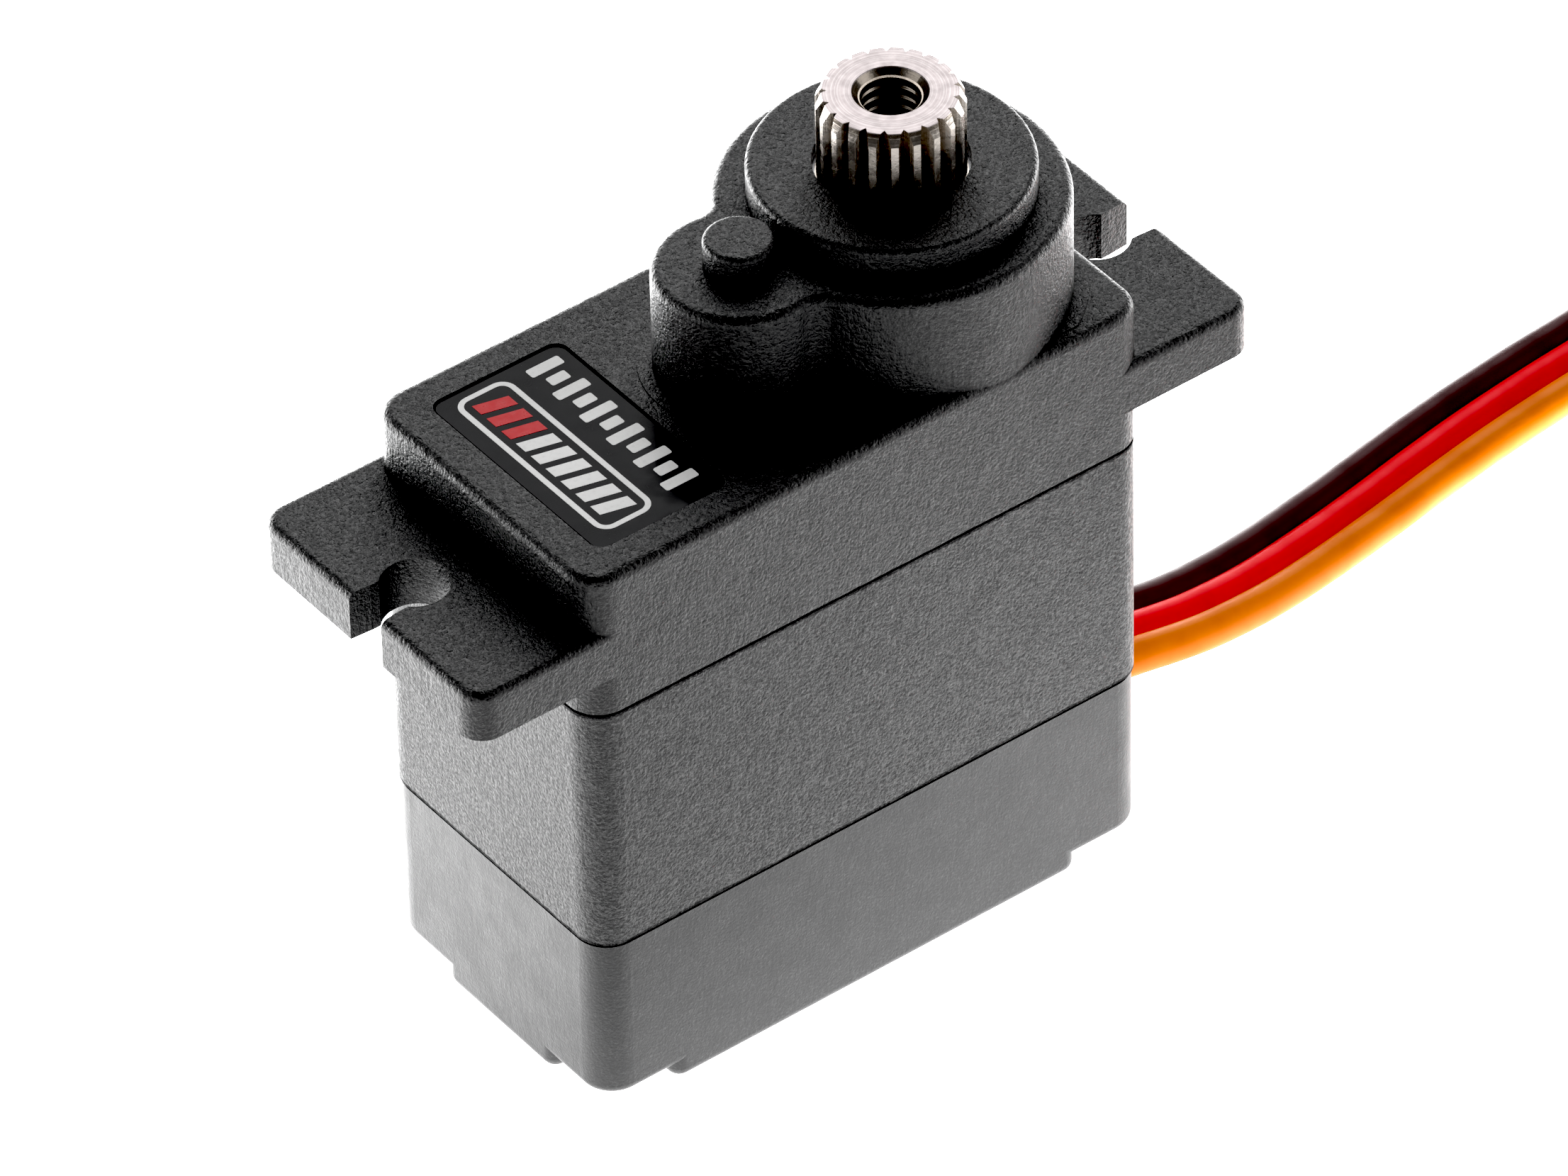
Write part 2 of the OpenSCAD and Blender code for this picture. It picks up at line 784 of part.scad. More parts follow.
module pot_leads() {
    color("#d8d8d8")
    for (y = pot_pin_ys) at(pot_pin_x, y, board_top_z) cylinder(r = 0.35, h = pot_z - 1.4 - board_top_z);
}

// ---------------------------------------------------------------- circuit board

module circuit_board() {
    l = case_l - 2 * wall - 0.4;
    w = case_w - 2 * wall - 0.3;
    color("#1f6b3a")
    difference() {
        at(0, 0, board_z) linear_extrude(board_t) {
            square([2 * (screw_x - post_r) - 0.3, w], center = true);
            square([l, 2 * (screw_y - post_r) - 0.3], center = true);
        }
        terminal_blade(0.01);
    }
}

// Chip with rows of legs along two sides
module chip(l, w, h, legs) {
    at(-l / 2, -w / 2, 0.1) cube([l, w, h - 0.1]);
    for (k = [0:legs - 1], s = [-1, 1])
        at((k - (legs - 1) / 2) * l / legs - 0.12, s > 0 ? w / 2 : -w / 2 - 0.45, 0)
            cube([0.24, 0.45, 0.25]);
}

module control_chip() {
    color("#202022") at(-0.8, 0, board_top_z) chip(4.4, 3.6, chip_h, 6);
}

module driver_chips() {
    color("#202022")
    for (s = [-1, 1]) at(5.2, s * 3.2, board_top_z) chip(2.6, 1.5, chip_h, 3);
}

module board_parts() {
    color("#b9a27a") {
        for (x = [-3.4, -2, -0.6, 0.8], s = [-1, 1])
            at(x - 0.5, s * 3.4 - 0.25, board_top_z) cube([1.0, 0.5, 0.4]);
        at(4.2, -0.6, board_top_z) cube([2.0, 1.2, 1.1]);
    }
}

module resonator() {
    color("#c9782e") at(-1.6, 3.95, board_top_z) cube([3.0, 0.7, 1.0]);
}

// Domes of solder under the board, one for each blade, pin and wire
module solder_joints() {
    h = 0.35;
    color("#d5d7da") {
        for (s = [-1, 1]) at(motor_x, s * terminal_y, board_z - h) cylinder(r1 = 0.35, r2 = 0.85, h = h);
        for (y = pot_pin_ys) at(pot_pin_x, y, board_z - h) cylinder(r1 = 0.25, r2 = 0.6, h = h);
        for (k = [-1:1]) at(pad_x, k * wire_d, board_z - h) cylinder(r1 = 0.25, r2 = 0.55, h = h);
    }
}

// ---------------------------------------------------------------- lead

module lead_ends() {
    from = pad_x + 0.8;
    color("#c8641e")
    for (k = [-1:1])
        at(from, k * wire_d, exit_z)
            rotate([0, 90, 0]) cylinder(d = wire_d - 0.04, h = case_l / 2 - from);
}

module lead_strands() {
    r = 0.22;
    color("#c98a4a")
    for (k = [-1:1]) at(pad_x, k * wire_d, 0) {
        at(0, 0, exit_z) rotate([0, 90, 0]) cylinder(r = r, h = 0.8);
        at(0, 0, exit_z) sphere(r);
        at(0, 0, board_top_z) cylinder(r = r, h = exit_z - board_top_z);
    }
}

// Cross-section of the ribbon: across, and up
function ribbon_section() =
    let (a = ribbon_half, b = ribbon_half - 0.4, c = wire_d / 2, d = wire_d / 4)
    [[a, -d], [a, d], [b, c], [-b, c], [-a, d], [-a, -d], [-b, -c], [b, -c]];

// Level direction across the route at point i, from its neighbours
function across(route, i) =
    let (p = route[max(i - 1, 0)],
         q = route[min(i + 1, len(route) - 1)],
         n = norm([q[0] - p[0], q[1] - p[1]]))
    [-(q[1] - p[1]) / n, (q[0] - p[0]) / n, 0];

// Ribbon swept along a route, one ring at each of its points
module ribbon(route) {
    section = ribbon_section();
    n = len(section);
    last = len(route) - 1;
    points = [for (i = [0:last], s = section) route[i] + s[0] * across(route, i) + [0, 0, s[1]]];
    sides = [for (i = [0:last - 1], k = [0:n - 1])
        [i * n + k, i * n + (k + 1) % n, (i + 1) * n + (k + 1) % n, (i + 1) * n + k]];
    polyhedron(points, concat([[for (k = [n - 1:-1:0]) k]], sides, [[for (k = [0:n - 1]) last * n + k]]));
}

module lead_ribbon() {
    color("#c8281e") ribbon(lead_route);
}

module lead_coil() {
    color("#c8281e")
    at(coil_x, coil_y, 0.02)
        rotate_extrude() translate([coil_in_r, 0]) square([coil_out_r - coil_in_r, wire_d]);
}

module lead_tail() {
    color("#c8281e") ribbon(tail_route);
}

module plug_housing() {
    hole = 0.9;
    latch_l = 2.5;
    latch_w = 1.2;
    latch_x = plug_x + 5.5;
    latch_deep = 0.5;
    color("#141416")
    difference() {
        at(plug_x, plug_y - plug_w / 2, 0) cube([plug_l, plug_w, plug_h]);
        for (k = [-1:1]) at(0, plug_y + k * pin_pitch, 0) {
            at(plug_x - 1, -hole / 2, (plug_h - hole) / 2) cube([plug_l - 1, hole, hole]);
            at(latch_x, -latch_w / 2, plug_h - latch_deep) cube([latch_l, latch_w, 1]);
        }
    }
}

module plug_contacts() {
    outer = 0.86;
    inner = 0.66;
    sunk = 0.6;
    contact_l = 10;
    color("#d9c27a")
    for (k = [-1:1])
        at(plug_x + sunk, plug_y + k * pin_pitch, plug_h / 2) rotate([0, 90, 0])
            linear_extrude(contact_l) difference() {
                square(outer, center = true);
                square(inner, center = true);
            }
}

bottom_cover();
middle_case();
top_case();
case_screws();
label();
output_gear();
bearing_outer_ring();
bearing_inner_ring();
bearing_balls();
bearing_cage();
output_bush();
gear_pin();
gear_one();
gear_two();
gear_three();
motor_can();
motor_magnets();
motor_front_bush();
motor_end_cap();
motor_brushes();
motor_terminals();
rotor_shaft();
rotor_core();
rotor_windings();
commutator();
motor_pinion();
pot_housing();
pot_base();
pot_track();
pot_shaft();
pot_wiper();
pot_pins();
pot_leads();
circuit_board();
control_chip();
driver_chips();
board_parts();
resonator();
solder_joints();
lead_ends();
lead_strands();
lead_ribbon();
lead_coil();
lead_tail();
plug_housing();
plug_contacts();
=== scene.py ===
"""Looks of a micro servo motor: camera, lead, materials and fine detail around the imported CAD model."""

import json
import math

import bmesh
import bpy
from mathutils import Matrix, Vector


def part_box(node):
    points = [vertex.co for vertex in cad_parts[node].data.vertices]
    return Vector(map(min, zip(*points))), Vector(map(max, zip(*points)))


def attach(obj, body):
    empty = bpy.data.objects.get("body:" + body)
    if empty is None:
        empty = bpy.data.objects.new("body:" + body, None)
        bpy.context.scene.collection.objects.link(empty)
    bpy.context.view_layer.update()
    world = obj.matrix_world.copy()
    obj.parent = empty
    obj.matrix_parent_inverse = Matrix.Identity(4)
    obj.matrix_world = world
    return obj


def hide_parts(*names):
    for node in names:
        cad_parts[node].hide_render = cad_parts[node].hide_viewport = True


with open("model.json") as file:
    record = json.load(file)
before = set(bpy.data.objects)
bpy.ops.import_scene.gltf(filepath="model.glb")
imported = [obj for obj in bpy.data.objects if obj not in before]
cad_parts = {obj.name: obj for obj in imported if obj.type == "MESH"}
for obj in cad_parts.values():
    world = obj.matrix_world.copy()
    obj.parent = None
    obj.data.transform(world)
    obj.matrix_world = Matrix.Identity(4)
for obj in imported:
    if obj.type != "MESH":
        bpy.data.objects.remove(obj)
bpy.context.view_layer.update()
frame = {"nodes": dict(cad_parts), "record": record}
MM = 0.001

# ---------------------------------------------------------------- places, all from the frame

cover_joint_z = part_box("bottom_cover")[1].z
top_joint_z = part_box("top_case")[0].z
label_lo, label_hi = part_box("label")
shaft_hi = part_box("output_gear")[1]
ring_lo, ring_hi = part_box("bearing_outer_ring")
coil_lo, coil_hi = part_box("lead_coil")
plug_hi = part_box("plug_housing")[1]

out_axis = (ring_lo + ring_hi) / 2
thread = next(m for m in frame["record"]["mounts"] if m["name"] == "output_axis_thread")
bore_radius = thread["dims"]["r_mm"] * MM
spline_radius = 2.45 * MM           # over the tips of the teeth
label_mid = (label_lo + label_hi) / 2
coil_mid = (coil_lo + coil_hi) / 2


# ---------------------------------------------------------------- camera

AZIMUTH = -36.55        # degrees round the servo, 0 looks along +Y
ELEVATION = 40.976
ROLL = -1.385
DISTANCE = 438.6 * MM
LENS = 306.6            # on a sensor 36 mm wide
AIM = Vector((0, 0, 12.3 * MM))
SHIFT = (0.0120, 0.0109)


def add_camera():
    """The camera looks at the servo from the front left and above."""
    a, e, r = map(math.radians, (AZIMUTH, ELEVATION, ROLL))
    back = Vector((math.sin(a) * math.cos(e), -math.cos(a) * math.cos(e), math.sin(e)))
    right = Vector((math.cos(a), math.sin(a), 0))
    up = back.cross(right)
    right, up = right * math.cos(r) + up * math.sin(r), up * math.cos(r) - right * math.sin(r)
    data = bpy.data.cameras.new("camera")
    data.lens = LENS
    data.sensor_width = 36
    data.shift_x, data.shift_y = SHIFT
    data.clip_start = 0.01
    camera = bpy.data.objects.new("camera", data)
    turned = Matrix((right, up, back)).transposed().to_4x4()
    camera.matrix_world = Matrix.Translation(AIM + back * DISTANCE) @ turned
    bpy.context.scene.collection.objects.link(camera)
    bpy.context.scene.camera = camera


add_camera()


# ---------------------------------------------------------------- material helpers

class Look:
    """One procedural material, built up step by step on a Principled shader."""

    def __init__(self, name, colour, roughness, **sockets):
        self.material = bpy.data.materials.new(name)
        self.material.use_nodes = True
        self.tree = self.material.node_tree
        self.shader = self.tree.nodes["Principled BSDF"]
        self.shader.inputs["Base Color"].default_value = (*colour, 1)
        self.shader.inputs["Roughness"].default_value = roughness
        for key, value in sockets.items():
            self.shader.inputs[key.replace("_", " ")].default_value = value
        self.where = self.node("ShaderNodeTexCoord").outputs["Object"]
        self.normal = None

    def node(self, kind, settings=None, **inputs):
        """A node with its settings and its inputs, each a value or another node's output."""
        made = self.tree.nodes.new(kind)
        for key, value in (settings or {}).items():
            setattr(made, key, value)
        for key, value in inputs.items():
            self.put(made.inputs[key.replace("_", " ")], value)
        return made

    def put(self, socket, value):
        """Sets a socket to a number or colour, or links it to another node's output."""
        if isinstance(value, bpy.types.NodeSocket):
            self.tree.links.new(value, socket)
        else:
            socket.default_value = value

    def math(self, operation, a, b=0.0):
        """One arithmetic step on two numbers or outputs."""
        made = self.node("ShaderNodeMath", {"operation": operation})
        self.put(made.inputs[0], a)
        self.put(made.inputs[1], b)
        return made.outputs[0]

    def stretched(self, stretch):
        """The object coordinates, squeezed so that a pattern looks longer along some axes."""
        made = self.node("ShaderNodeMapping", Vector=self.where)
        made.inputs["Scale"].default_value = stretch
        return made.outputs["Vector"]

    def noise(self, size, detail=3.0, stretch=(1, 1, 1), rough=0.55):
        """Cloudy noise from 0 to 1, with features of this size in metres."""
        vector = self.where if stretch == (1, 1, 1) else self.stretched(stretch)
        made = self.node("ShaderNodeTexNoise", Vector=vector, Scale=1 / size, Detail=detail,
                         Roughness=rough)
        return made.outputs["Fac"]

    def between(self, value, low, high, to_low=0.0, to_high=1.0):
        """Value stretched from low..high to to_low..to_high, and held there."""
        made = self.node("ShaderNodeMapRange", {"interpolation_type": "SMOOTHSTEP"}, Value=value)
        for key, number in (("From Min", low), ("From Max", high), ("To Min", to_low), ("To Max", to_high)):
            self.put(made.inputs[key], number)
        return made.outputs["Result"]

    def tint(self, amount, colour):
        """Mixes another colour into the base colour by amount."""
        made = self.node("ShaderNodeMix", {"data_type": "RGBA"})
        self.put(made.inputs["Factor"], amount)
        old = self.shader.inputs["Base Color"]
        if old.is_linked:
            self.put(made.inputs["A"], old.links[0].from_socket)
        else:
            made.inputs["A"].default_value = old.default_value
        made.inputs["B"].default_value = (*colour, 1)
        self.put(old, made.outputs["Result"])
        return self

    def roughen(self, value, low, high):
        """Lets the roughness wander from low to high with a noise."""
        self.put(self.shader.inputs["Roughness"], self.between(value, 0.3, 0.7, low, high))
        return self

    def darken_seams(self):
        """Makes an uneven, rough line along both joints of the case."""
        wander, outer, inner = 0.16 * MM, 0.24 * MM, 0.15 * MM
        z = self.split()[2]
        uneven = self.math("MULTIPLY", self.noise(0.4 * MM, 3), wander)
        for seam_z in (cover_joint_z, top_joint_z):
            off = self.math("ADD", self.math("ABSOLUTE", self.math("SUBTRACT", z, seam_z)), uneven)
            line = self.between(off, outer, inner, 0, 0.95)
            rough = self.shader.inputs["Roughness"]
            self.put(rough, self.math("MAXIMUM", rough.links[0].from_socket, line))
        return self

    def bump(self, height, depth, strength=1.0):
        """Raises the surface by depth metres where height is 1."""
        made = self.node("ShaderNodeBump", Height=height, Distance=depth, Strength=strength)
        if self.normal:
            self.put(made.inputs["Normal"], self.normal)
        self.normal = made.outputs["Normal"]
        self.put(self.shader.inputs["Normal"], self.normal)
        return self

    def axis_radius(self, centre):
        """Distance from an upright axis through centre, in metres."""
        moved = self.node("ShaderNodeVectorMath", {"operation": "SUBTRACT"})
        self.put(moved.inputs[0], self.where)
        moved.inputs[1].default_value = (centre.x, centre.y, 0)
        flat = self.node("ShaderNodeVectorMath", {"operation": "MULTIPLY"})
        self.put(flat.inputs[0], moved.outputs[0])
        flat.inputs[1].default_value = (1, 1, 0)
        length = self.node("ShaderNodeVectorMath", {"operation": "LENGTH"}, Vector=flat.outputs[0])
        return length.outputs["Value"]

    def walls(self):
        """1 on upright walls and 0 on flat tops and bottoms."""
        normal = self.node("ShaderNodeTexCoord").outputs["Normal"]
        z = self.node("ShaderNodeSeparateXYZ", Vector=normal).outputs["Z"]
        return self.between(self.math("ABSOLUTE", z), 0.7, 0.3)

    def split(self):
        """The object coordinates as three outputs."""
        made = self.node("ShaderNodeSeparateXYZ", Vector=self.where)
        return made.outputs["X"], made.outputs["Y"], made.outputs["Z"]


# ---------------------------------------------------------------- materials

THREAD_PITCH = 0.4 * MM             # of the screw thread in the output shaft
FIBRE_STRETCH = (1.0, 1.0, 0.35)    # the fibres in the case run mostly upright
SCUFF_STRETCH = (0.5, 0.5, 1.0)     # the scuffs on the walls run mostly level
RIB_PITCH = 0.7 * MM                # of the finger ribs on the plug


def eroded_plastic(name, depth, speckle, gloss, roughness):
    """Black nylon from a spark-eroded mould: grain, faint fibres, dust, and walls scuffed by the mould."""
    look = Look(name, (0.005, 0.005, 0.0055), 0.4, Specular_IOR_Level=gloss)
    grain = look.noise(0.12 * MM, 2, rough=0.65)
    fibre = look.noise(0.2 * MM, 2, FIBRE_STRETCH)
    cloud = look.noise(3 * MM, 3)
    dust = look.noise(0.22 * MM, 2, rough=0.75)
    specks = look.noise(0.11 * MM, 2, rough=0.7)
    grey = (speckle, speckle, speckle)
    look.tint(look.between(cloud, 0.35, 0.7), (0.008, 0.008, 0.0085))
    look.tint(look.between(specks, 0.5, 0.65), grey)
    scuffs = look.between(look.noise(0.16 * MM, 3, SCUFF_STRETCH, rough=0.75), 0.5, 0.68)
    look.tint(look.math("MULTIPLY", look.walls(), scuffs), grey)
    look.tint(look.between(dust, 0.735, 0.76, 0, 0.5), (0.2, 0.2, 0.2))
    look.roughen(grain, roughness - 0.12, roughness + 0.12).darken_seams()
    look.bump(look.noise(1.6 * MM, 2), depth)
    look.bump(fibre, depth * 0.7)
    look.bump(grain, depth)
    return look.material


def smooth_plastic():
    """The same nylon from a smoother part of the mould."""
    look = Look("smooth_plastic", (0.006, 0.006, 0.0065), 0.4, Specular_IOR_Level=0.55)
    cloud = look.noise(1.2 * MM, 4)
    grain = look.noise(0.09 * MM, 2)
    look.tint(look.between(cloud, 0.35, 0.7), (0.010, 0.010, 0.0105))
    look.tint(look.between(look.noise(0.12 * MM, 3, rough=0.7), 0.5, 0.68), (0.03, 0.03, 0.0305))
    look.roughen(cloud, 0.36, 0.44).darken_seams()
    look.bump(look.noise(0.5 * MM, 3), 0.008 * MM)
    look.bump(look.noise(0.2 * MM, 2, FIBRE_STRETCH), 0.012 * MM)
    look.bump(grain, 0.015 * MM)
    return look.material


def shaft_steel():
    """Turned, nickel-plated steel, with lathe rings on its end and a screw thread in its bore."""
    look = Look("shaft_steel", (0.5, 0.46, 0.42), 0.26, Metallic=1.0)
    radius = look.axis_radius(out_axis)
    z = look.split()[2]
    grime = look.noise(0.4 * MM, 4)
    end_face = look.between(z, shaft_hi.z - 0.04 * MM, shaft_hi.z - 0.01 * MM)
    # Mask of the gaps between the spline teeth, where shade is painted into the colour
    gap_shade = look.between(radius, spline_radius - 0.04 * MM, spline_radius - 0.2 * MM)
    rings = look.node("ShaderNodeTexNoise", {"noise_dimensions": "1D"}, W=radius,
                      Scale=1 / (0.07 * MM), Detail=2).outputs["Fac"]
    look.tint(look.between(grime, 0.55, 0.8, 0, 0.5), (0.3, 0.24, 0.17))
    # Painted shade: the gaps between the spline teeth are darkened in the base colour
    look.tint(look.math("MULTIPLY", gap_shade, 0.7), (0.14, 0.115, 0.09))
    look.tint(end_face, (0.33, 0.295, 0.295))
    bright_rings = look.math("MULTIPLY", end_face, look.between(rings, 0.45, 0.7))
    look.tint(bright_rings, (0.42, 0.385, 0.385))
    look.roughen(grime, 0.2, 0.3)
    smooth = look.shader.inputs["Roughness"].links[0].from_socket
    end_extra = look.math("MULTIPLY", end_face, 0.2)
    look.put(look.shader.inputs["Roughness"], look.math("ADD", smooth, end_extra))
    look.bump(rings, 0.01 * MM)
    look.bump(look.noise(0.15 * MM, 3), 0.006 * MM)
    turns = look.math("SINE", look.math("MULTIPLY", z, 2 * math.pi / THREAD_PITCH))
    in_bore = look.between(radius, bore_radius + 0.08 * MM, bore_radius + 0.02 * MM)
    look.bump(look.math("MULTIPLY", turns, in_bore), 0.08 * MM)
    return look.material


def metal(name, colour, roughness, size=0.25 * MM, stretch=(1, 1, 1)):
    """Plain metal with soft stains and fine scratches."""
    look = Look(name, colour, roughness, Metallic=1.0)
    stain = look.noise(size * 4, 4)
    scratch = look.noise(size / 4, 2, stretch)
    look.tint(look.between(stain, 0.45, 0.8, 0, 0.5), tuple(c * 0.6 for c in colour))
    look.roughen(stain, roughness - 0.05, roughness + 0.12)
    look.bump(scratch, size / 80)
    return look.material


def plastic(name, colour, roughness, depth=0.004 * MM, size=0.1 * MM):
    """Plain moulded plastic, board or film, with a faint grain."""
    look = Look(name, colour, roughness)
    cloud = look.noise(size * 12, 3)
    look.tint(look.between(cloud, 0.4, 0.75, 0, 0.6), tuple(c * 0.8 for c in colour))
    look.roughen(cloud, roughness - 0.04, roughness + 0.06)
    look.bump(look.noise(size, 2), depth)
    return look.material


def wire_sheath(name, colour, deep):
    """Soft PVC sheath of one wire."""
    look = Look(name, colour, 0.5, Specular_IOR_Level=0.2)
    cloud = look.noise(1.5 * MM, 3)
    look.tint(look.between(cloud, 0.4, 0.7, 0, 0.7), deep)
    look.roughen(cloud, 0.44, 0.56)
    look.bump(look.noise(0.25 * MM, 2), 0.004 * MM)
    return look.material


def plug_plastic():
    """Black moulded plastic with finger ribs across the end where the lead comes in."""
    look = Look("plug_plastic", (0.03, 0.03, 0.031), 0.42)
    x = look.split()[0]
    ribs = look.math("SINE", look.math("MULTIPLY", x, 2 * math.pi / RIB_PITCH))
    ribbed = look.math("MULTIPLY", look.between(x, plug_hi.x - 3.6 * MM, plug_hi.x - 3.5 * MM),
                       look.between(x, plug_hi.x - 0.6 * MM, plug_hi.x - 0.7 * MM))
    look.tint(look.between(look.noise(1.5 * MM, 3), 0.4, 0.7), (0.02, 0.02, 0.021))
    look.tint(look.between(look.noise(0.15 * MM, 3, rough=0.7), 0.55, 0.7), (0.07, 0.07, 0.07))
    look.roughen(look.noise(0.6 * MM, 3), 0.36, 0.48)
    look.bump(look.math("MULTIPLY", ribs, ribbed), 0.12 * MM)
    look.bump(look.noise(0.12 * MM, 2), 0.01 * MM)
    return look.material


def label_film():
    """Glossy black printed film with dust and small scratches."""
    look = Look("label_film", (0.008, 0.008, 0.009), 0.2, Specular_IOR_Level=0.1)
    dust = look.noise(0.12 * MM, 3, rough=0.7)
    look.tint(look.between(dust, 0.72, 0.8), (0.25, 0.25, 0.25))
    look.roughen(look.noise(0.8 * MM, 3), 0.12, 0.28)
    look.bump(look.noise(2.5 * MM, 2), 0.02 * MM)
    return look.material


def ink(name, colour):
    """Printing ink on the label, slightly worn."""
    look = Look(name, colour, 0.3, Specular_IOR_Level=0.2)
    look.tint(look.between(look.noise(0.2 * MM, 3), 0.5, 0.8, 0, 0.35), tuple(c * 0.7 for c in colour))
    look.roughen(look.noise(0.3 * MM, 2), 0.25, 0.4)
    look.bump(look.noise(0.08 * MM, 2), 0.003 * MM)
    return look.material


wire_looks = {
    "brown": wire_sheath("wire_brown", (0.055, 0.005, 0.007), (0.04, 0.004, 0.005)),
    "red": wire_sheath("wire_red", (0.95, 0.002, 0.012), (0.85, 0.002, 0.010)),
    "orange": wire_sheath("wire_orange", (0.84, 0.2, 0.003), (0.74, 0.16, 0.002)),
}
steel = metal("ground_steel", (0.6, 0.6, 0.61), 0.22)
brass = metal("gear_brass", (0.63, 0.45, 0.17), 0.3)
bronze = metal("bush_bronze", (0.5, 0.33, 0.15), 0.42)
copper = metal("copper", (0.6, 0.27, 0.12), 0.35)
tinned = metal("tinned_metal", (0.66, 0.66, 0.67), 0.28)

node_looks = {
    "top_case": eroded_plastic("top_plastic", 0.055 * MM, 0.03, 0.52, 0.43),
    "middle_case": eroded_plastic("middle_plastic", 0.055 * MM, 0.055, 0.52, 0.47),
    "bottom_cover": smooth_plastic(),
    "case_screws": metal("screw_steel", (0.4, 0.4, 0.41), 0.35),
    "label": label_film(),
    "output_gear": shaft_steel(),
    "bearing_outer_ring": steel,
    "bearing_inner_ring": steel,
    "bearing_balls": metal("ball_steel", (0.7, 0.7, 0.71), 0.1),
    "bearing_cage": brass,
    "output_bush": bronze,
    "gear_pin": steel,
    "gear_one": brass,
    "gear_two": metal("gear_steel", (0.5, 0.47, 0.43), 0.32),
    "gear_three": metal("gear_steel_worn", (0.46, 0.43, 0.39), 0.36),
    "motor_can": metal("can_steel", (0.56, 0.57, 0.58), 0.28),
    "motor_magnets": plastic("magnet", (0.05, 0.05, 0.055), 0.5),
    "motor_front_bush": bronze,
    "motor_end_cap": plastic("end_cap", (0.72, 0.69, 0.6), 0.42),
    "motor_brushes": copper,
    "motor_terminals": tinned,
    "rotor_shaft": steel,
    "rotor_core": metal("core_steel", (0.25, 0.25, 0.26), 0.4),
    "rotor_windings": metal("winding_copper", (0.55, 0.2, 0.08), 0.3),
    "commutator": copper,
    "motor_pinion": brass,
    "pot_housing": plastic("pot_housing", (0.6, 0.57, 0.5), 0.45),
    "pot_base": plastic("pot_base", (0.3, 0.19, 0.09), 0.5),
    "pot_track": plastic("pot_track", (0.02, 0.018, 0.017), 0.55),
    "pot_shaft": plastic("pot_shaft", (0.68, 0.65, 0.56), 0.45),
    "pot_wiper": brass,
    "pot_pins": tinned,
    "pot_leads": plastic("wire_white", (0.7, 0.7, 0.68), 0.45),
    "circuit_board": plastic("board_green", (0.015, 0.13, 0.05), 0.25),
    "control_chip": plastic("chip_black", (0.02, 0.02, 0.022), 0.4),
    "driver_chips": plastic("chip_black_small", (0.022, 0.022, 0.024), 0.42),
    "board_parts": plastic("ceramic", (0.45, 0.33, 0.2), 0.35),
    "resonator": plastic("resonator_orange", (0.6, 0.22, 0.04), 0.3),
    "solder_joints": tinned,
    "lead_ends": wire_looks["orange"],
    "lead_strands": copper,
    "plug_housing": plug_plastic(),
    "plug_contacts": metal("contact_gold", (0.75, 0.55, 0.22), 0.25),
}


for name, look in node_looks.items():
    slots = frame["nodes"][name].data.materials
    slots.clear()
    slots.append(look)


def soften_edges(name, width):
    """Rounds the sharp edges of a piece slightly."""
    bevel = frame["nodes"][name].modifiers.new("soft_edges", "BEVEL")
    bevel.width = width
    bevel.segments = 2
    bevel.limit_method = "ANGLE"


soften_edges("plug_housing", 0.15 * MM)


# ---------------------------------------------------------------- mesh helpers

def new_piece(name, mesh, body, slot, *materials):
    """Links a finished bmesh as a piece that rides on a body."""
    data = bpy.data.meshes.new(name)
    mesh.to_mesh(data)
    mesh.free()
    obj = bpy.data.objects.new(name, data)
    bpy.context.scene.collection.objects.link(obj)
    for m in materials:
        data.materials.append(m)
    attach(obj, body)
    return obj


def smooth_through(points, step):
    """Points every step metres along a smooth curve through the given points."""
    ends = [2 * points[0] - points[1], *points, 2 * points[-1] - points[-2]]
    fine = 24
    dense = []
    for a, b, c, d in zip(ends, ends[1:], ends[2:], ends[3:]):
        for k in range(fine):
            t = k / fine
            dense.append(0.5 * (2 * b + (c - a) * t + (2 * a - 5 * b + 4 * c - d) * t ** 2
                                + (3 * b - a - 3 * c + d) * t ** 3))
    dense.append(points[-1].copy())
    length = sum((q - p).length for p, q in zip(dense, dense[1:]))
    count = round(length / step)
    even, walked, target = [dense[0]], 0.0, length / count
    for p, q in zip(dense, dense[1:]):
        gap = (q - p).length
        while walked + gap >= target * len(even) and len(even) < count:
            even.append(p.lerp(q, (target * len(even) - walked) / gap))
        walked += gap
    return [*even, dense[-1]], length


# ---------------------------------------------------------------- lead

# Route from the case to the coil, and from the coil to the plug, in millimetres
LEAD_ROUTE = [
    (11.4, 0, 3.3), (13.0, 0, 3.2), (14.6, 0, 2.94), (16.4, 0.04, 2.52), (18.2, 0.2, 2.09),
    (20.9, 0.65, 1.54), (23.8, 1.3, 1.09), (26.9, 2.0, 0.78), (29.9, 2.6, 0.67), (32.8, 3.05, 0.65),
    (36.0, 3.4, 0.65), (38.6, 3.6, 0.65), (41.2, 3.8, 0.65), (43.8, 4.04, 0.65), (46.3, 4.36, 0.65),
    (48.8, 4.8, 0.65),
]
TAIL_ROUTE = [
    (68.4, -13.4, 0.65), (68.4, -16.6, 0.65), (67.4, -19.4, 0.75), (65.5, -21.6, 0.9),
    (63.0, -23.1, 1.1), (60.1, -23.6, 1.25), (58.5, -23.6, 1.25),
]
COIL_START = 100          # degrees round the coil's centre, and the turns run clockwise
COIL_TURNS = 1.25
COIL_PITCH = 4.1 * MM
COIL_POINTS = 16          # for each turn
WIRE_RADIUS = 0.65 * MM
WIRE_GAP = 1.225 * MM     # between the middles of two neighbouring wires
RIBBON_WIDTH = 2 * (WIRE_GAP + WIRE_RADIUS)


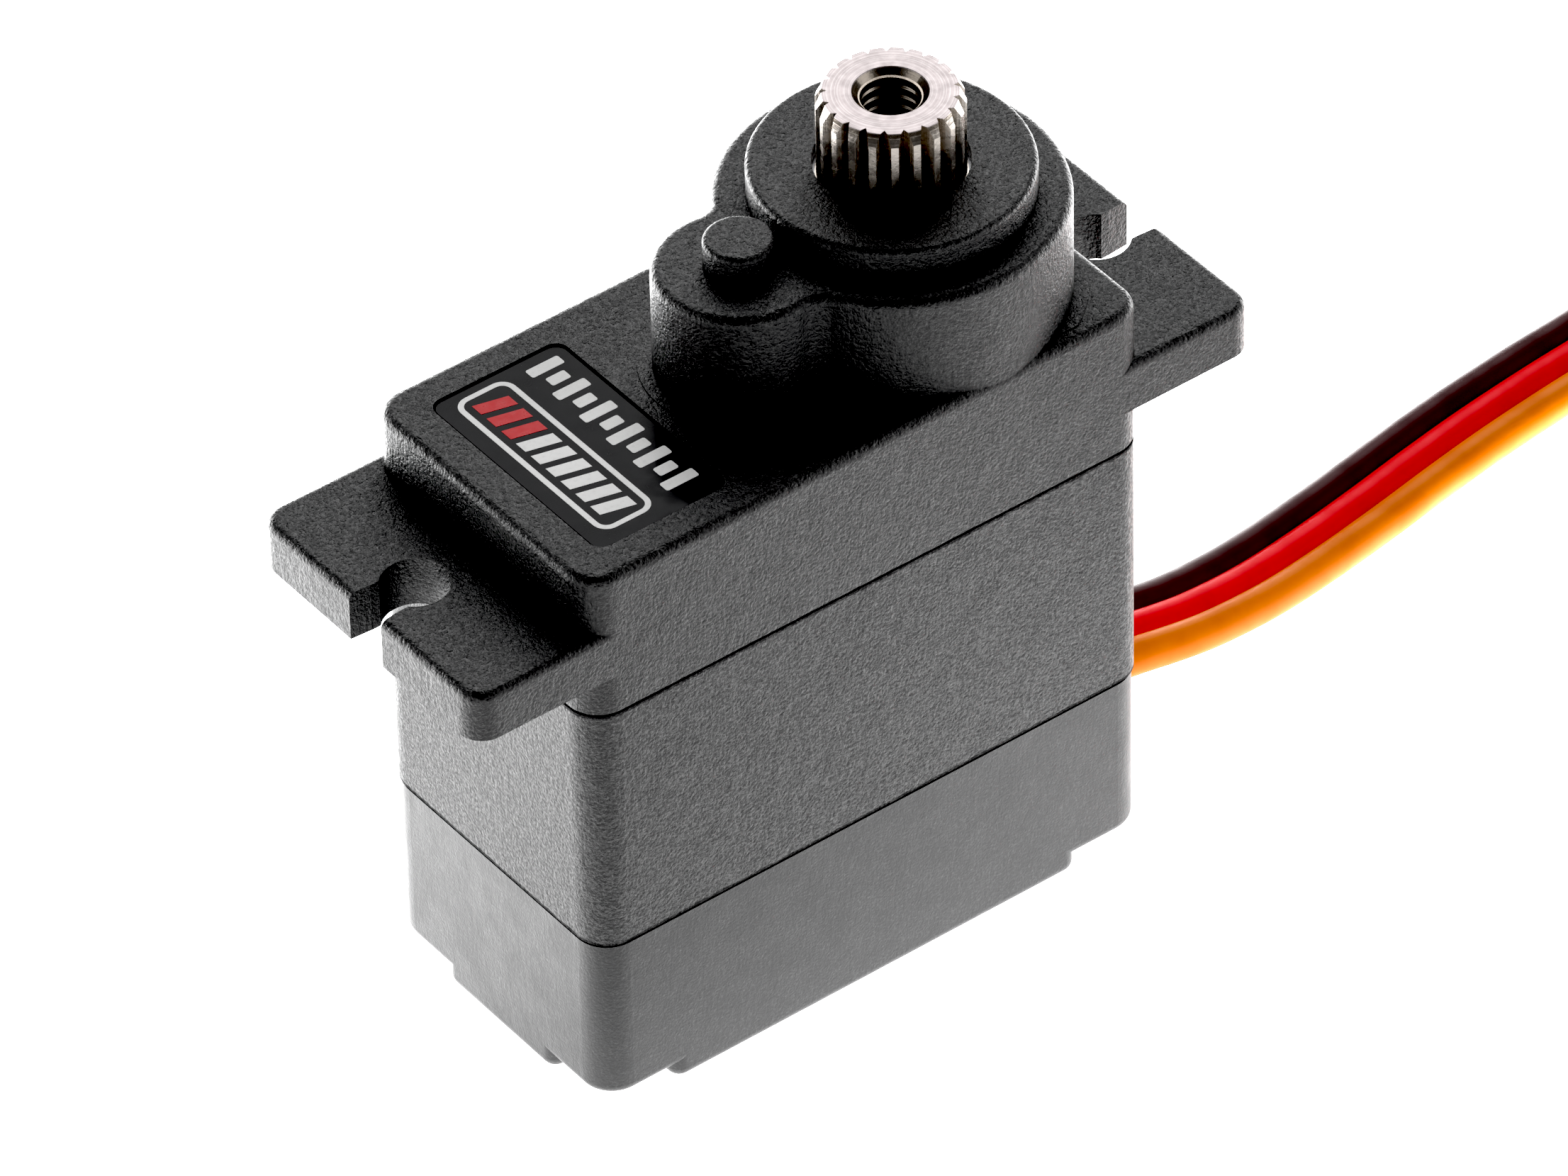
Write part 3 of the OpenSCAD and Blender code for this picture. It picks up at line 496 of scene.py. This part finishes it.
def coil_route():
    """The turns of the coil, between the two routes."""
    start_radius = (coil_hi.x - coil_lo.x) / 2 - RIBBON_WIDTH / 2
    points = []
    for k in range(1, round(COIL_TURNS * COIL_POINTS)):
        turn = k / COIL_POINTS
        angle = math.radians(COIL_START - 360 * turn)
        radius = start_radius - COIL_PITCH * turn
        x = coil_mid.x + radius * math.cos(angle)
        y = coil_mid.y + radius * math.sin(angle)
        points.append(Vector((x, y, LEAD_ROUTE[-1][2] * MM)))
    return points


def ribbon_outline(arc_steps=12):
    """Section of three bonded wires: points (across, up), and which wire each edge belongs to."""
    open_angle = math.acos(WIRE_GAP / 2 / WIRE_RADIUS)
    points, wires = [], []
    lobes = [(1, -math.pi + open_angle, math.pi - open_angle),
             (0, open_angle, math.pi - open_angle),
             (-1, open_angle, 2 * math.pi - open_angle),
             (0, math.pi + open_angle, 2 * math.pi - open_angle)]
    for place, start, end in lobes:
        steps = arc_steps * (2 if place else 1)
        for k in range(steps):
            a = start + (end - start) * k / steps
            points.append((place * WIRE_GAP + WIRE_RADIUS * math.cos(a), WIRE_RADIUS * math.sin(a)))
            wires.append(place)
    return points, wires


def add_lead():
    """The three-wire ribbon from the case through the coil to the plug, as one piece."""
    route = [Vector(p) * MM for p in LEAD_ROUTE] + coil_route() + [Vector(p) * MM for p in TAIL_ROUTE]
    path, length = smooth_through(route, 0.45 * MM)
    outline, wires = ribbon_outline()
    colour_index = {1: 0, 0: 1, -1: 2}
    mesh = bmesh.new()
    rings = []
    for i, p in enumerate(path):
        ahead = path[min(i + 1, len(path) - 1)] - path[max(i - 1, 0)]
        across = Vector((-ahead.y, ahead.x, 0)).normalized()
        up = ahead.normalized().cross(across)
        rings.append([mesh.verts.new(p + a * across + b * up) for a, b in outline])
    n = len(outline)
    for low, high in zip(rings, rings[1:]):
        for k in range(n):
            face = mesh.faces.new((low[k], high[k], high[(k + 1) % n], low[(k + 1) % n]))
            face.material_index = colour_index[wires[k]]
            face.smooth = True
    mesh.faces.new(rings[0])
    mesh.faces.new(reversed(rings[-1]))
    bmesh.ops.recalc_face_normals(mesh, faces=mesh.faces)
    for low, high in zip(rings, rings[1:]):
        for k in range(n):
            if wires[k] != wires[k - 1]:    # a sharp crease between two wires
                mesh.edges.get((low[k], high[k])).smooth = False
    lead = new_piece("lead", mesh, "case", "lead_sheath",
                     wire_looks["brown"], wire_looks["red"], wire_looks["orange"])
    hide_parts("lead_ribbon", "lead_coil", "lead_tail")


add_lead()


# ---------------------------------------------------------------- label print

def flat_shape(mesh, points, z, thick=0.008 * MM, material=0):
    """A thin raised patch with this outline."""
    low = [mesh.verts.new((x, y, z)) for x, y in points]
    high = [mesh.verts.new((x, y, z + thick)) for x, y in points]
    n = len(points)
    faces = [mesh.faces.new(high), mesh.faces.new(reversed(low))]
    for k in range(n):
        faces.append(mesh.faces.new((low[k], low[(k + 1) % n], high[(k + 1) % n], high[k])))
    for face in faces:
        face.material_index = material


def rounded_box(cx, cy, width, length, radius, steps=8):
    """Outline of a rectangle with round corners, anticlockwise."""
    points = []
    for k, (sx, sy) in enumerate([(1, 1), (-1, 1), (-1, -1), (1, -1)]):
        for i in range(steps + 1):
            a = math.radians(90 * k + 90 * i / steps)
            points.append((cx + sx * (width / 2 - radius) + radius * math.cos(a),
                           cy + sy * (length / 2 - radius) + radius * math.sin(a)))
    return points


def ring_shape(mesh, outer, inner, z, thick=0.008 * MM):
    """A thin raised frame between two outlines with the same number of points."""
    n = len(outer)
    loops = [[mesh.verts.new((x, y, h)) for x, y in line]
             for line, h in ((outer, z), (outer, z + thick), (inner, z + thick), (inner, z))]
    for a, b in zip(loops, loops[1:] + loops[:1]):
        for k in range(n):
            mesh.faces.new((a[k], a[(k + 1) % n], b[(k + 1) % n], b[k]))


def add_label_print():
    """A generic pattern: a white frame round slanted bars, and a row of plain blocks beside it."""
    z = label_hi.z + 0.001 * MM

    frame_x = label_lo.x + 1.69 * MM
    frame_y = label_mid.y + 0.13 * MM
    frame_w, frame_l, corner = 2.2 * MM, 8.15 * MM, 0.55 * MM
    line = 0.2 * MM
    mesh = bmesh.new()
    ring_shape(mesh, rounded_box(frame_x, frame_y, frame_w, frame_l, corner),
               rounded_box(frame_x, frame_y, frame_w - 2 * line, frame_l - 2 * line, corner - line), z)

    bars, red_bars, margin = 9, 3, 0.5 * MM
    pitch = (frame_l - 2 * margin) / bars
    half_h, half_w, slant = 0.62 * MM, 0.26 * MM, 0.16 * MM
    for k in range(bars):
        y = frame_y + frame_l / 2 - margin - pitch * (k + 0.5)
        flat_shape(mesh, [(frame_x - half_h, y - half_w + slant), (frame_x + half_h, y - half_w - slant),
                          (frame_x + half_h, y + half_w - slant), (frame_x - half_h, y + half_w + slant)],
                   z, material=1 if k < red_bars else 0)

    blocks, row_l = 11, 7.9 * MM
    row_x = label_lo.x + 4.1 * MM
    row_end = label_mid.y + 4.2 * MM
    pitch = row_l / blocks
    for k in range(blocks):
        y = row_end - pitch * (k + 0.5)
        tall = 1.3 * MM if k % 2 == 0 else 0.75 * MM
        flat_shape(mesh, rounded_box(row_x, y, tall, pitch * 0.62, 0.08 * MM, 4), z)

    bmesh.ops.recalc_face_normals(mesh, faces=mesh.faces)
    new_piece("label_print", mesh, "case", "label_film", ink("ink_white", (0.85, 0.85, 0.84)),
              ink("ink_red", (0.62, 0.01, 0.015)))


add_label_print()


# ---------------------------------------------------------------- floor and light

def add_floor():
    """A plain white floor that glows like a light table, unevenly, so that the walls mirror soft shades."""
    mesh = bmesh.new()
    bmesh.ops.create_grid(mesh, x_segments=8, y_segments=8, size=1.5)
    data = bpy.data.meshes.new("floor")
    mesh.to_mesh(data)
    mesh.free()
    floor = bpy.data.objects.new("floor", data)
    bpy.context.scene.collection.objects.link(floor)
    look = Look("floor_white", (0.86, 0.86, 0.86), 0.7)
    x, y, _ = look.split()
    a = math.radians(AZIMUTH)
    # Distance towards the camera, and to its right, from the middle of the servo
    nearer = look.math("ADD", look.math("MULTIPLY", x, math.sin(a)), look.math("MULTIPLY", y, -math.cos(a)))
    across = look.math("ADD", look.math("MULTIPLY", x, math.cos(a)), look.math("MULTIPLY", y, math.sin(a)))
    # Bright at the left, dimmer towards the camera and at the far right
    glow = look.math("MULTIPLY", look.between(nearer, -5 * MM, 30 * MM, 0.72, 0.15),
                     look.between(across, -25 * MM, 20 * MM, 5.9, 3.7))
    glow = look.math("MULTIPLY", glow, look.between(across, 22 * MM, 34 * MM, 1, 0.4))
    # Bright behind the servo, and even far away from it
    glow = look.math("ADD", glow, look.between(nearer, -8 * MM, -25 * MM, 0, 6))
    away = look.node("ShaderNodeVectorMath", {"operation": "LENGTH"}, Vector=look.where).outputs["Value"]
    glow = look.math("MAXIMUM", glow, look.between(away, 36 * MM, 56 * MM, 0, 1.3))
    look.shader.inputs["Emission Color"].default_value = (1, 1, 1, 1)
    look.put(look.shader.inputs["Emission Strength"], glow)
    data.materials.append(look.material)


def add_soft_light(name, azimuth, elevation, distance, size, watts):
    """A square soft box that faces the servo."""
    a, e = math.radians(azimuth), math.radians(elevation)
    back = Vector((math.sin(a) * math.cos(e), -math.cos(a) * math.cos(e), math.sin(e)))
    data = bpy.data.lights.new(name, "AREA")
    data.size = size
    data.energy = watts
    light = bpy.data.objects.new(name, data)
    light.location = AIM + back * distance
    light.rotation_mode = "QUATERNION"
    light.rotation_quaternion = back.to_track_quat("Z", "Y")
    bpy.context.scene.collection.objects.link(light)


def add_world():
    """Faint even light from all sides."""
    world = bpy.data.worlds.new("studio")
    world.use_nodes = True
    background = world.node_tree.nodes["Background"]
    background.inputs["Color"].default_value = (1, 1, 1, 1)
    background.inputs["Strength"].default_value = 0.08
    bpy.context.scene.world = world


add_floor()
add_soft_light("back_light", 143, 42, 0.6, 0.5, 2.3)
add_soft_light("left_light", -115, 30, 0.6, 0.4, 0.6)
add_soft_light("right_light", 50, 30, 0.6, 0.4, 0.8)
add_world()


def set_tones():
    """Deep blacks and full whites, as in a product photograph."""
    view = bpy.context.scene.view_settings
    view.view_transform = "Standard"
    view.use_curve_mapping = True
    view.curve_mapping.black_level = (0.027, 0.027, 0.027)
    view.curve_mapping.white_level = (0.83, 0.83, 0.83)
    view.curve_mapping.update()


set_tones()
